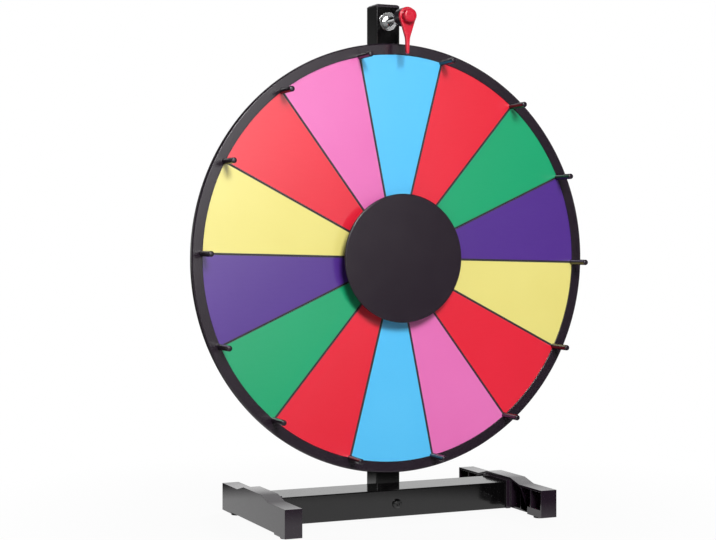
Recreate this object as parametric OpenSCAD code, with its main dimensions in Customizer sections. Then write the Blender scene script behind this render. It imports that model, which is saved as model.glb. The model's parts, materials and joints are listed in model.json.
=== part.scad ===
// Tabletop carnival game wheel: a striped disc with pegs that spins on a post, under a swinging pointer.
// Millimetres. The front is -Y, +Z is up and X runs along the base.
// The origin is on the table, under the middle of the base.

/* [Wheel] */
// Diameter of the wheel over its rim
wheel_d = 610; // [480:5:760]
// Thickness of the disc
board_t = 6; // [4:0.5:10]
// Thickness of a coloured panel
panel_t = 0.6; // [0.4:0.1:1]
// Number of coloured slices, and of pegs
slice_count = 14; // [8:1:20]
// Width of the dark line between two slices
line_w = 1.8; // [0.8:0.1:3]
// Clockwise turn of the wheel from a slice at the top, in degrees
wheel_turn = 1.5; // [1.4:0.1:2.8]

/* [Rim] */
// Width of the rim band on the front
rim_front_w = 15.5; // [13:0.5:24]
// Width of the rim band on the back
rim_back_w = 8; // [6:0.5:9]
// Thickness of the rim's front and back bands
rim_lip_t = 2; // [1.5:0.1:3]
// Thickness of the rim's outer wall
rim_wall = 3; // [2:0.5:4]
// Bevel on the rim's outer edges
rim_bevel = 1.5; // [0.5:0.1:1.5]

/* [Pegs] */
// Diameter of a peg
peg_d = 8; // [6:0.5:9]
// Length of a peg in front of the panels
peg_len = 40; // [34:1:60]
// Distance from the wheel's edge to the middle of a peg
peg_inset = 15; // [14:0.5:18]
// Bevel on a peg's end
peg_bevel = 1; // [0.5:0.1:2]
// Diameter of the screw that holds a peg
peg_screw_d = 4; // [3:0.5:4.5]
// Diameter of the peg screw's head
peg_screw_head_d = 7.5; // [6.5:0.5:8]
// Height of the peg screw's head
peg_screw_head_h = 2.4; // [1.5:0.1:3]
// Depth of the screw in the peg
peg_screw_grip = 12; // [8:1:20]

/* [Hub] */
// Diameter of the round hub cover at its front
hub_d = 182; // [180:1:240]
// Diameter of the hub cover at its back, where it meets the panels
hub_back_d = 156; // [150:1:170]
// Wall of the hub cover
hub_wall = 2.5; // [2:0.1:4]
// Round on the hub cover's front edge
hub_round = 2; // [1:0.1:2]
// Room between the axle bolt's head and the hub cover
hub_room = 2.1; // [1:0.1:12]
// Cover of the panels under the hub cover's back edge
hub_overlap = 5; // [4:0.5:8]
// Number of screws that hold the hub cover
hub_screw_count = 3; // [3:1:6]
// Diameter of a hub cover screw
hub_screw_d = 4; // [3:0.5:5]
// Diameter of a hub cover screw's head
hub_screw_head_d = 8; // [7:0.5:10]
// Height of a hub cover screw's head
hub_screw_head_h = 2.6; // [2:0.1:3]
// Depth of the screw in the hub cover's boss
hub_screw_grip = 14; // [8:1:18]
// Diameter of a hub cover boss
hub_boss_d = 10; // [8:0.5:12]

/* [Bearings] */
// Diameter of the axle bolt
axle_d = 12; // [10:0.5:14]
// Radial height of a bearing, from its bore to its outside
bearing_section = 8; // [7:0.5:10]
// Width of a bearing
bearing_w = 8; // [7:0.5:12]
// Distance between the two bearings
bearing_gap = 7; // [4:0.5:20]
// Diameter of a bearing ball
ball_d = 4.8; // [4:0.1:5]
// Number of balls in a bearing
ball_count = 8; // [6:1:9]
// Depth of the groove that the balls run in
groove_deep = 0.6; // [0.4:0.05:0.8]
// Wall of the bearing housing
housing_wall = 8; // [5:0.5:10]
// Width of the housing's flange around its barrel
flange_w = 32; // [30:1:38]
// Thickness of the housing's flange
flange_t = 4; // [3:0.5:8]
// Thickness of the clamp ring on the front of the disc
clamp_t = 3; // [2:0.5:5]
// Number of bolts that hold the housing
flange_bolt_count = 6; // [4:1:8]
// Diameter of a flange bolt
flange_bolt_d = 6; // [5:0.5:8]
// Width across the flats of a flange bolt's head and nut
flange_hex_w = 10; // [9:0.5:13]
// Height of a flange bolt's head and nut
flange_hex_h = 4.2; // [3:0.1:6]

/* [Axle] */
// Distance from the post to the rear bearing
axle_spacer_len = 18; // [14:1:40]
// Wall of the spacer tubes on the axle bolt
axle_spacer_wall = 2; // [1.5:0.1:2.2]
// Thickness of the axle bolt's washers
axle_washer_t = 1.5; // [1:0.1:3]
// Diameter of the axle bolt's rear washer
axle_washer_d = 26; // [24:1:34]
// Width across the flats of the axle bolt's head and nut
axle_hex_w = 19; // [17:0.5:21]
// Height of the axle bolt's head
axle_head_h = 7.5; // [6:0.5:10]
// Height of the axle nut
axle_nut_h = 10; // [8:0.5:12]

/* [Post] */
// Width of the square post
post_w = 37; // [32:1:60]
// Depth of the post
post_d = 34; // [24:1:38]
// Wall of the post
post_wall = 2; // [1.5:0.1:3]
// Round on the post's corners
post_round = 1.5; // [1:0.1:4]
// Height of the post above the pointer's pivot
post_above_pivot = 21; // [18:1:60]
// Height of the cap on the post's top
cap_h = 4; // [3:0.5:10]
// Bevel on the cap's top
cap_bevel = 2; // [1:0.1:2.5]
// Length of the cap's plug inside the post
cap_plug = 10; // [6:0.5:14]
// Wall of the cap's plug
cap_plug_wall = 2; // [1.5:0.1:3]

/* [Pointer] */
// Distance from the pivot to the pointer's tip
pointer_len = 53; // [48:1:80]
// Reach of the tip inside the circle of peg middles
tip_dip = 3; // [1:0.5:4]
// Width of the pointer's round head
pointer_head_w = 26; // [22:0.5:32]
// Width of the pointer's tail where it leaves the head
pointer_tail_w = 6.8; // [6:0.1:8]
// Width of the pointer at its tip
pointer_tip_w = 4.4; // [3:0.1:5]
// Thickness of the pointer
pointer_t = 5; // [3:0.5:8]
// Distance from the pivot to the end of the head's taper
pointer_taper = 31; // [26:1:40]
// Distance of the pointer's front behind the ends of the pegs
pointer_behind = 1.6; // [0.5:0.1:4]
// Diameter of the collar behind the pointer
collar_d = 26; // [18:0.5:30]
// Length of the collar
collar_len = 16; // [8:1:24]
// Diameter of the pivot bolt
pivot_d = 8; // [6:0.5:9]
// Width across the flats of the pivot bolt's head and nuts
pivot_hex_w = 13; // [12:0.5:14]
// Height of the pivot bolt's head and of its nuts
pivot_nut_h = 6; // [4:0.5:8]
// Diameter of the washers on the post
pivot_washer_d = 27; // [20:1:30]
// Thickness of the washers on the post
pivot_washer_t = 2; // [1:0.1:3]
// Diameter of the cap over the front nut
pointer_cap_d = 20; // [19.5:0.5:22]
// Wall of the cap over the front nut
pointer_cap_wall = 1.4; // [1.2:0.1:1.6]
// Round on the front edge of the cap over the front nut
pointer_cap_round = 3; // [1:0.5:3]

/* [Crossbar] */
// Depth of the crossbar
bar_d = 66; // [56:1:90]
// Height of the crossbar
bar_h = 38.5; // [30:0.5:60]
// Wall of the crossbar
bar_wall = 2; // [1.5:0.1:3]
// Round on the crossbar's corners
bar_round = 1.5; // [0.5:0.1:3]
// Height of the crossbar above the table
bar_lift = 4.5; // [4.5:0.5:10]
// Height of the post bolt above the crossbar's underside
post_bolt_up = 18.5; // [12:0.5:20]
// Diameter of the post bolt
post_bolt_d = 8; // [6:0.5:9]
// Diameter of the post bolt's head
post_bolt_head_d = 14; // [13:0.5:18]
// Height of the post bolt's head
post_bolt_head_h = 4; // [3:0.5:6]
// Width across the flats of the post bolt's socket
post_bolt_socket_w = 5; // [4:0.5:6]
// Depth of the post bolt's socket
post_bolt_socket_deep = 2.4; // [1.5:0.1:3]
// Width across the flats of the post bolt's nut
post_bolt_hex_w = 13; // [11:0.5:16]
// Height of the post bolt's nut
post_bolt_nut_h = 6.5; // [5:0.5:9]
// Wall of the sleeve around the post bolt
sleeve_wall = 2.5; // [1.5:0.1:3]

/* [Feet] */
// Width of the base over both feet
base_w = 414; // [360:2:600]
// Width of a foot
foot_w = 25; // [23:1:40]
// Length of a foot
foot_len = 252; // [230:2:400]
// Height of a foot at its ends
foot_end_h = 43; // [36:1:50]
// Rise of a foot's middle above its ends
foot_hump = 6.5; // [6:0.5:16]
// Length of the slope from the foot's middle to its end
foot_slope = 26; // [16:1:40]
// Length of the block at a foot's end
foot_block_len = 40; // [38:1:44]
// Rise of the foot's underside between its end blocks
foot_arch = 2; // [1:0.5:6]
// Wall of a foot
foot_wall = 3; // [2:0.5:4]
// Height of the solid sill in the block at a foot's end
foot_sill = 11; // [6:1:14]
// Number of ribs in each pocket of a foot
rib_count = 2; // [1:1:4]
// Thickness of a rib
rib_t = 2.4; // [1.5:0.1:3]
// Wall of the collar that a foot has around the crossbar
foot_collar_t = 3; // [2:0.5:4]
// Length of the collar that a foot has around the crossbar
foot_collar_len = 6; // [4:0.5:12]
// Length of the tongue that a foot has inside the crossbar
tongue_len = 40; // [34:1:60]
// Diameter of a screw that holds a foot
foot_screw_d = 5; // [4:0.5:6]
// Diameter of a foot screw's head
foot_screw_head_d = 9; // [8:0.5:11]
// Height of a foot screw's head
foot_screw_head_h = 2.5; // [2:0.1:3]
// Distance between the two screws of a foot
foot_screw_pitch = 30; // [24:1:36]
// Distance of a foot's screws from the foot
foot_screw_in = 24; // [18:1:28]
// Depth of a foot screw in the tongue
foot_screw_grip = 14; // [8:1:20]
// Diameter of a rubber pad
pad_d = 16; // [12:1:18]
// Distance from a foot's end to the middle of a pad
pad_in = 27.5; // [24:0.5:28]
// Height of a pad below the foot
pad_h = 4; // [4:0.5:8]
// Depth of a pad inside the foot
pad_seat = 1.5; // [1:0.1:2]

/* [Clearances] */
// Gap between a foot's middle and the rim above it
wheel_clear = 18; // [10:1:120]
// Gap around a part that turns on a bolt or a ball
run_gap = 0.05; // [0.03:0.01:0.1]
// Gap around a part that is seated in another
seat_gap = 0.1; // [0.06:0.01:0.15]
// Gap between parts that move past each other
move_gap = 0.4; // [0.3:0.05:0.6]
// Length of a bolt's end past its nut
bolt_end = 1; // [0.5:0.5:3]

/* [Hidden] */
$fn = 96;
hull_fn = 32;

// Overlap of a cut past its solid, and of two solids that are joined
over = 1;
// Thickness of the two ends of a hull
thin = 0.01;

// Colours of the slices, clockwise from the top, before the order repeats
SLICE_COLOURS = ["blue", "red", "green", "purple", "yellow", "red", "pink"];
BLACK = [0.12, 0.12, 0.12];
ZINC = [0.78, 0.79, 0.80];
RED = [0.90, 0.14, 0.24];

// Heights above the table
foot_mid_h = foot_end_h + foot_hump;
axle_h = foot_mid_h + wheel_clear + wheel_d / 2;
bar_top = bar_lift + bar_h;
post_bottom = bar_lift + bar_wall;
post_bolt_z = bar_lift + post_bolt_up;
peg_circle_r = wheel_d / 2 - peg_inset;
pivot_h = axle_h + peg_circle_r - tip_dip + pointer_len;
post_top = pivot_h + post_above_pivot;

// Depths: the post stands against the inside of the crossbar's back wall
post_back_y = bar_d / 2 - bar_wall;
post_front_y = post_back_y - post_d;

// Distances in front of the post, along the axle
barrel_len = 2 * bearing_w + bearing_gap;
front_bearing_z = axle_spacer_len + bearing_w + bearing_gap;
barrel_front_z = axle_spacer_len + barrel_len;
board_z = axle_spacer_len + flange_t;
axle_head_z = barrel_front_z + axle_washer_t;
face_z = board_z + board_t + panel_t;
hub_front_z = axle_head_z + axle_head_h + hub_room + hub_wall;
hub_depth = hub_front_z - face_z;

// Distances in front of the post, along the pivot bolt
pointer_front_z = face_z + peg_len - pointer_behind;
pointer_back_z = pointer_front_z - pointer_t;
collar_back_z = pointer_back_z - collar_len;
end_nut_z = pointer_front_z + move_gap;
pivot_end_z = end_nut_z + pivot_nut_h + bolt_end;
pointer_cap_h = pivot_end_z + move_gap + pointer_cap_wall - pointer_front_z;

// Radii of the wheel
wheel_r = wheel_d / 2;
board_r = wheel_r - rim_wall - seat_gap;
panel_out_r = wheel_r - rim_front_w - seat_gap;
hub_r = hub_d / 2;
hub_back_r = hub_back_d / 2;
panel_in_r = hub_back_r - hub_overlap;
bearing_od = axle_d + 2 * bearing_section;
ball_pitch_r = (axle_d + bearing_od) / 4;
ring_half_gap = ball_d / 2 - groove_deep;
barrel_r = bearing_od / 2 + housing_wall;
flange_r = barrel_r + flange_w;
flange_bolt_r = (barrel_r + flange_r) / 2;
hub_boss_r = (flange_r + panel_in_r) / 2;

// Places of the feet
foot_inner_x = base_w / 2 - foot_w;
foot_mid_x = base_w / 2 - foot_w / 2;
pad_y = foot_len / 2 - pad_in;
hump_half = bar_d / 2 + foot_collar_t;
foot_screw_x = foot_inner_x - foot_screw_in;

// Shapes shared by several parts

// A rectangle about the origin with round corners
module round_rect(w, h, r) {
    square([w - 2 * r, h], center = true);
    square([w, h - 2 * r], center = true);
    for (x = [-1, 1], y = [-1, 1]) translate([x * (w / 2 - r), y * (h / 2 - r)]) circle(r);
}

// A tube or washer that stands on the XY plane
module tube(outer_d, inner_d, h) {
    difference() {
        cylinder(d = outer_d, h = h);
        translate([0, 0, -over]) cylinder(d = inner_d, h = h + 2 * over);
    }
}

// A hexagon bar, measured across its flats
module hex(w, h) {
    cylinder(d = w / cos(30), h = h, $fn = 6);
}

// A hexagon nut on a bolt of the given diameter
module nut(w, bolt_d, h) {
    difference() {
        hex(w, h);
        translate([0, 0, -over]) cylinder(d = bolt_d + 2 * seat_gap, h = h + 2 * over);
    }
}

// A screw that points along +Z, with its head below the XY plane
module screw(d, grip, head_d, head_h) {
    translate([0, 0, -head_h]) cylinder(d = head_d, h = head_h);
    cylinder(d = d, h = grip);
}

// Copies of a piece in a circle about Z, the first one turned by start
module ring_of(count, r, start = 0) {
    for (i = [0:count - 1]) rotate(start + i * 360 / count) translate([r, 0, 0]) children();
}

// Places a piece so that its +Z points to the front, from the post's front face
module from_post(height) {
    translate([0, post_front_y, height]) rotate([90, 0, 0]) children();
}

module at_axle() {
    from_post(axle_h) children();
}

// The wheel's own frame: its XY plane is the back of the disc
module at_wheel() {
    at_axle() translate([0, 0, board_z]) rotate(-wheel_turn) children();
}

module at_pivot() {
    from_post(pivot_h) children();
}

// Places of the pegs: one on each line between two slices
module at_pegs() {
    ring_of(slice_count, peg_circle_r, 90 - 180 / slice_count) children();
}

// Base

// Side outline of a foot, drawn in by an inset on all sides
module foot_outline(inset) {
    end_y = foot_len / 2 - inset;
    block_y = foot_len / 2 - foot_block_len + inset;
    low = pad_h + inset;
    arch = pad_h + foot_arch + inset;
    right_half = [[block_y, arch], [block_y, low], [end_y, low], [end_y, foot_end_h - inset],
        [hump_half + foot_slope, foot_end_h - inset], [hump_half, foot_mid_h - inset]];
    left_half = [for (i = [len(right_half) - 1:-1:0]) [-right_half[i][0], right_half[i][1]]];
    polygon(concat(right_half, left_half));
}

// One pocket on the inner side of a foot, between the collar and the end wall, with its ribs left standing
module foot_pocket() {
    pocket_y0 = hump_half + foot_wall;
    pocket_y1 = foot_len / 2 - foot_wall;
    pocket_deep = foot_w - foot_wall;
    rib_step = (pocket_y1 - pocket_y0) / (rib_count + 1);
    difference() {
        translate([foot_inner_x - over, 0, 0]) rotate([90, 0, 90]) linear_extrude(pocket_deep + over)
            difference() {
                intersection() {
                    foot_outline(foot_wall);
                    translate([pocket_y0, 0]) square([pocket_y1 - pocket_y0, foot_mid_h]);
                }
                // The sill, which also holds the pad
                translate([foot_len / 2 - foot_block_len, 0]) square([foot_block_len, pad_h + foot_sill]);
            }
        for (i = [1:rib_count])
            translate([foot_inner_x - 2 * over, pocket_y0 + i * rib_step - rib_t / 2, 0])
                cube([pocket_deep + 3 * over, rib_t, foot_mid_h]);
    }
}

// The collar that a foot has over the top and the sides of the crossbar
module foot_collar() {
    bore_d = bar_d + 2 * seat_gap;
    outer_d = bar_d + 2 * foot_collar_t;
    translate([foot_inner_x - foot_collar_len, 0, 0]) difference() {
        translate([0, -outer_d / 2, bar_lift]) cube([foot_collar_len + over, outer_d, bar_h + foot_collar_t]);
        translate([-over, -bore_d / 2, 0]) cube([foot_collar_len + over, bore_d, bar_top + seat_gap]);
    }
}

// The tongue that a foot has inside the crossbar
module foot_tongue() {
    tongue_d = bar_d - 2 * bar_wall - 2 * bar_round;
    tongue_h = bar_h - 2 * bar_wall - bar_round;
    translate([foot_inner_x - tongue_len, -tongue_d / 2, bar_lift + bar_wall])
        cube([tongue_len + over, tongue_d, tongue_h]);
}

module at_foot_screws() {
    for (y = [-1, 1]) translate([foot_screw_x, y * foot_screw_pitch / 2, bar_lift]) children();
}

// The foot on the +X side
module foot() {
    difference() {
        union() {
            translate([foot_inner_x, 0, 0]) rotate([90, 0, 90]) linear_extrude(foot_w) foot_outline(0);
            foot_collar();
            foot_tongue();
        }
        foot_pocket();
        mirror([0, 1, 0]) foot_pocket();
        for (y = [-1, 1]) translate([foot_mid_x, y * pad_y, 0])
            cylinder(d = pad_d + 2 * seat_gap, h = pad_h + pad_seat);
        at_foot_screws() cylinder(d = foot_screw_d + 2 * seat_gap, h = bar_wall + foot_screw_grip + over);
    }
}

module right_foot() {
    color(BLACK) foot();
}

module left_foot() {
    color(BLACK) mirror([1, 0, 0]) foot();
}

module foot_pads() {
    color([0.06, 0.06, 0.06])
        for (x = [-1, 1], y = [-1, 1]) translate([x * foot_mid_x, y * pad_y, 0])
            cylinder(d = pad_d, h = pad_h + pad_seat);
}

module foot_screws() {
    color(ZINC)
        for (x = [0, 1]) mirror([x, 0, 0]) at_foot_screws()
            screw(foot_screw_d, bar_wall + foot_screw_grip, foot_screw_head_d, foot_screw_head_h);
}

module crossbar() {
    bar_len = 2 * foot_inner_x;
    color(BLACK) difference() {
        translate([-foot_inner_x, 0, bar_lift + bar_h / 2]) rotate([90, 0, 90]) linear_extrude(bar_len)
            difference() {
                round_rect(bar_d, bar_h, bar_round);
                square([bar_d - 2 * bar_wall, bar_h - 2 * bar_wall], center = true);
            }
        // The mouth in the top wall that the post goes through
        translate([0, (post_front_y + post_back_y) / 2, bar_top - bar_wall - over])
            linear_extrude(bar_wall + 2 * over)
                square([post_w + 2 * seat_gap, post_d + 2 * seat_gap], center = true);
        translate([0, 0, post_bolt_z]) rotate([90, 0, 0])
            cylinder(d = post_bolt_d + 2 * seat_gap, h = bar_d + 2 * over, center = true);
        for (x = [0, 1]) mirror([x, 0, 0]) at_foot_screws()
            translate([0, 0, -over]) cylinder(d = foot_screw_d + 2 * seat_gap, h = bar_wall + 2 * over);
    }
}

// Post

// A hole through the post from front to back
module post_hole(height, d) {
    translate([0, post_back_y + over, height]) rotate([90, 0, 0])
        cylinder(d = d + 2 * seat_gap, h = post_d + 2 * over);
}

module post() {
    color(BLACK) difference() {
        translate([0, (post_front_y + post_back_y) / 2, post_bottom]) linear_extrude(post_top - post_bottom)
            difference() {
                round_rect(post_w, post_d, post_round);
                square([post_w - 2 * post_wall, post_d - 2 * post_wall], center = true);
            }
        post_hole(post_bolt_z, post_bolt_d);
        post_hole(axle_h, axle_d);
        post_hole(pivot_h, pivot_d);
    }
}

module post_cap() {
    plug_w = post_w - 2 * post_wall - 2 * seat_gap;
    plug_d = post_d - 2 * post_wall - 2 * seat_gap;
    color(BLACK) translate([0, (post_front_y + post_back_y) / 2, post_top]) {
        linear_extrude(cap_h - cap_bevel) round_rect(post_w, post_d, post_round);
        translate([0, 0, cap_h - cap_bevel]) hull() {
            linear_extrude(thin) round_rect(post_w, post_d, post_round, $fn = hull_fn);
            translate([0, 0, cap_bevel - thin]) linear_extrude(thin)
                round_rect(post_w - 2 * cap_bevel, post_d - 2 * cap_bevel, post_round, $fn = hull_fn);
        }
        translate([0, 0, -cap_plug]) linear_extrude(cap_plug + over) difference() {
            square([plug_w, plug_d], center = true);
            square([plug_w - 2 * cap_plug_wall, plug_d - 2 * cap_plug_wall], center = true);
        }
    }
}

// Places a piece so that its +Z points to the front, from the crossbar's front face
module at_post_bolt() {
    translate([0, -bar_d / 2, post_bolt_z]) rotate([90, 0, 0]) children();
}

module post_bolt() {
    shank = bar_d + post_bolt_nut_h + bolt_end;
    color(BLACK) at_post_bolt() difference() {
        union() {
            cylinder(d = post_bolt_head_d, h = post_bolt_head_h);
            translate([0, 0, -shank]) cylinder(d = post_bolt_d, h = shank + over);
        }
        translate([0, 0, post_bolt_head_h - post_bolt_socket_deep])
            hex(post_bolt_socket_w, post_bolt_socket_deep + over);
    }
}

// Keeps the crossbar's front wall from bending in as the bolt is tightened
module post_bolt_sleeve() {
    inner_d = post_bolt_d + 2 * seat_gap;
    sleeve_len = post_front_y + bar_d / 2 - bar_wall;
    color(ZINC) at_post_bolt() translate([0, 0, -bar_wall - sleeve_len])
        tube(inner_d + 2 * sleeve_wall, inner_d, sleeve_len);
}

module post_bolt_nut() {
    color(ZINC) at_post_bolt() translate([0, 0, -bar_d - post_bolt_nut_h])
        nut(post_bolt_hex_w, post_bolt_d, post_bolt_nut_h);
}

// Axle and the still half of the bearings

module axle_bolt() {
    rear_z = -post_d - axle_washer_t - axle_nut_h - bolt_end;
    color(ZINC) at_axle() {
        translate([0, 0, rear_z]) cylinder(d = axle_d, h = axle_head_z - rear_z + over);
        translate([0, 0, axle_head_z]) hex(axle_hex_w, axle_head_h);
    }
}

module axle_front_washer() {
    color(ZINC) at_axle() translate([0, 0, barrel_front_z])
        tube(2 * (ball_pitch_r - ring_half_gap), axle_d + 2 * seat_gap, axle_washer_t);
}

module axle_rear_washer() {
    color(ZINC) at_axle() translate([0, 0, -post_d - axle_washer_t])
        tube(axle_washer_d, axle_d + 2 * seat_gap, axle_washer_t);
}

module axle_nut() {
    color(ZINC) at_axle() translate([0, 0, -post_d - axle_washer_t - axle_nut_h])
        nut(axle_hex_w, axle_d, axle_nut_h);
}

// A tube on the axle bolt that bears on the bearings' inner rings
module spacer_tube(h) {
    inner_d = axle_d + 2 * seat_gap;
    tube(inner_d + 2 * axle_spacer_wall, inner_d, h);
}

module axle_spacer() {
    color(ZINC) at_axle() spacer_tube(axle_spacer_len);
}

module bearing_spacer() {
    color(ZINC) at_axle() translate([0, 0, axle_spacer_len + bearing_w]) spacer_tube(bearing_gap);
}

// One ring of a bearing, with the groove that its balls run in
module bearing_ring(inner_r, outer_r) {
    rotate_extrude() difference() {
        translate([inner_r, 0]) square([outer_r - inner_r, bearing_w]);
        translate([ball_pitch_r, bearing_w / 2]) circle(d = ball_d + 2 * run_gap);
    }
}

module at_bearings() {
    at_axle() for (z = [axle_spacer_len, front_bearing_z]) translate([0, 0, z]) children();
}

module bearing_inner_rings() {
    color(ZINC) at_bearings() bearing_ring(axle_d / 2 + run_gap, ball_pitch_r - ring_half_gap);
}

module bearing_balls() {
    color(ZINC) at_bearings() ring_of(ball_count, ball_pitch_r)
        translate([0, 0, bearing_w / 2]) sphere(d = ball_d);
}

// Pivot bolt of the pointer

module pivot_bolt() {
    head_z = -post_d - pivot_washer_t;
    color(ZINC) at_pivot() {
        translate([0, 0, head_z - pivot_nut_h]) hex(pivot_hex_w, pivot_nut_h);
        translate([0, 0, head_z - over]) cylinder(d = pivot_d, h = pivot_end_z - head_z + over);
    }
}

module pivot_washer() {
    tube(pivot_washer_d, pivot_d + 2 * seat_gap, pivot_washer_t);
}

module pivot_front_washer() {
    color(ZINC) at_pivot() pivot_washer();
}

module pivot_rear_washer() {
    color(ZINC) at_pivot() translate([0, 0, -post_d - pivot_washer_t]) pivot_washer();
}

module pivot_nut() {
    nut(pivot_hex_w, pivot_d, pivot_nut_h);
}

module pivot_post_nut() {
    color(ZINC) at_pivot() translate([0, 0, pivot_washer_t]) pivot_nut();
}

module pivot_collar_nut() {
    color(ZINC) at_pivot() translate([0, 0, collar_back_z - move_gap - pivot_nut_h]) pivot_nut();
}

module pivot_end_nut() {
    color(ZINC) at_pivot() translate([0, 0, end_nut_z]) pivot_nut();
}

// Wheel

module at_flange_bolts() {
    ring_of(flange_bolt_count, flange_bolt_r, 90) children();
}

// Places of the hub cover's bosses, turned so that they lie between the flange bolts
module at_hub_screws() {
    ring_of(hub_screw_count, hub_boss_r, 90 + 180 / flange_bolt_count) children();
}

module wheel_board() {
    color(BLACK) at_wheel() difference() {
        cylinder(r = board_r, h = board_t);
        translate([0, 0, -over]) {
            cylinder(r = barrel_r + seat_gap, h = board_t + 2 * over);
            at_pegs() cylinder(d = peg_screw_d + 2 * seat_gap, h = board_t + 2 * over);
            at_flange_bolts() cylinder(d = flange_bolt_d + 2 * seat_gap, h = board_t + 2 * over);
            at_hub_screws() cylinder(d = hub_screw_d + 2 * seat_gap, h = board_t + 2 * over);
        }
    }
}

// A channel around the edge of the disc, with half-round cuts for the pegs
module rim() {
    front = board_t + rim_lip_t;
    back = -rim_lip_t;
    color(BLACK) at_wheel() difference() {
        rotate_extrude() polygon([
            [wheel_r - rim_front_w, board_t], [wheel_r - rim_front_w, front],
            [wheel_r - rim_bevel, front], [wheel_r, front - rim_bevel],
            [wheel_r, back + rim_bevel], [wheel_r - rim_bevel, back],
            [wheel_r - rim_back_w, back], [wheel_r - rim_back_w, 0],
            [wheel_r - rim_wall, 0], [wheel_r - rim_wall, board_t]]);
        at_pegs() translate([0, 0, board_t / 2]) cylinder(d = peg_d + 2 * seat_gap, h = front);
    }
}

// One slice of the ring of panels: slice 0 is at the top and the count runs clockwise
module slice(i) {
    half = 180 / slice_count;
    apex = line_w / 2 / sin(half);
    reach = wheel_d;
    translate([0, 0, board_t]) linear_extrude(panel_t) intersection() {
        difference() {
            circle(panel_out_r);
            circle(panel_in_r);
            for (side = [-1, 1]) rotate(90 - 2 * half * i + side * half)
                translate([peg_circle_r, 0]) circle(d = peg_d + 2 * seat_gap);
        }
        rotate(90 - 2 * half * i) translate([apex, 0])
            polygon([[0, 0], [reach, -reach * tan(half)], [reach, reach * tan(half)]]);
    }
}

// All slices of one colour
module slices(name) {
    at_wheel() for (i = [0:slice_count - 1])
        if (SLICE_COLOURS[i % len(SLICE_COLOURS)] == name) slice(i);
}

module blue_slices() {
    color([0.36, 0.75, 0.96]) slices("blue");
}

module red_slices() {
    color([0.93, 0.20, 0.28]) slices("red");
}

module green_slices() {
    color([0.08, 0.66, 0.40]) slices("green");
}

module purple_slices() {
    color([0.35, 0.20, 0.56]) slices("purple");
}

module yellow_slices() {
    color([0.96, 0.91, 0.56]) slices("yellow");
}

module pink_slices() {
    color([0.93, 0.50, 0.78]) slices("pink");
}

module pegs() {
    length = panel_t + peg_len;
    color(BLACK) at_wheel() at_pegs() translate([0, 0, board_t]) difference() {
        rotate_extrude() polygon([[0, 0], [peg_d / 2, 0], [peg_d / 2, length - peg_bevel],
            [peg_d / 2 - peg_bevel, length], [0, length]]);
        translate([0, 0, -over]) cylinder(d = peg_screw_d + 2 * seat_gap, h = peg_screw_grip + 2 * over);
    }
}

module peg_screws() {
    color(ZINC) at_wheel() at_pegs()
        screw(peg_screw_d, board_t + peg_screw_grip, peg_screw_head_d, peg_screw_head_h);
}

// A round cover over the bearings, open at the back, that flares out to its front
module hub_cover() {
    back = board_t + panel_t;
    front = back + hub_depth;
    inner_front = front - hub_wall;
    arc_steps = 8;
    edge = [for (i = [0:arc_steps]) let (a = 90 * i / arc_steps)
        [hub_r - hub_round + hub_round * cos(a), front - hub_round + hub_round * sin(a)]];
    color(BLACK) at_wheel() difference() {
        union() {
            rotate_extrude() polygon(concat([[0, inner_front], [hub_r - hub_wall, inner_front],
                [hub_back_r - hub_wall, back], [hub_back_r, back]], edge, [[0, front]]));
            at_hub_screws() translate([0, 0, board_t])
                cylinder(d = hub_boss_d, h = inner_front - board_t + over);
        }
        at_hub_screws() translate([0, 0, board_t - over])
            cylinder(d = hub_screw_d + 2 * seat_gap, h = hub_screw_grip + 2 * over);
    }
}

module hub_screws() {
    color(ZINC) at_wheel() at_hub_screws()
        screw(hub_screw_d, board_t + hub_screw_grip, hub_screw_head_d, hub_screw_head_h);
}

// The flanged barrel behind the disc, with a bearing in each end
module bearing_housing() {
    color([0.62, 0.63, 0.65]) at_wheel() translate([0, 0, -flange_t]) difference() {
        union() {
            cylinder(r = flange_r, h = flange_t);
            cylinder(r = barrel_r, h = barrel_len);
        }
        translate([0, 0, -over]) {
            cylinder(r = bearing_od / 2, h = bearing_w + over);
            cylinder(r = ball_pitch_r + ring_half_gap, h = barrel_len + 2 * over);
            at_flange_bolts() cylinder(d = flange_bolt_d + 2 * seat_gap, h = flange_t + 2 * over);
        }
        translate([0, 0, bearing_w + bearing_gap]) cylinder(r = bearing_od / 2, h = bearing_w + over);
    }
}

module clamp_ring() {
    color(ZINC) at_wheel() translate([0, 0, board_t]) difference() {
        tube(2 * flange_r, 2 * (barrel_r + seat_gap), clamp_t);
        at_flange_bolts() translate([0, 0, -over])
            cylinder(d = flange_bolt_d + 2 * seat_gap, h = clamp_t + 2 * over);
    }
}

module flange_bolts() {
    grip = flange_t + board_t + clamp_t + flange_hex_h + bolt_end;
    color(ZINC) at_wheel() at_flange_bolts() {
        translate([0, 0, -flange_t - flange_hex_h]) hex(flange_hex_w, flange_hex_h);
        translate([0, 0, -flange_t]) cylinder(d = flange_bolt_d, h = grip);
    }
}

module flange_nuts() {
    color(ZINC) at_wheel() at_flange_bolts() translate([0, 0, board_t + clamp_t])
        nut(flange_hex_w, flange_bolt_d, flange_hex_h);
}

module bearing_outer_rings() {
    color(ZINC) at_bearings() bearing_ring(ball_pitch_r + ring_half_gap, bearing_od / 2 - run_gap);
}

// Pointer

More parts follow.
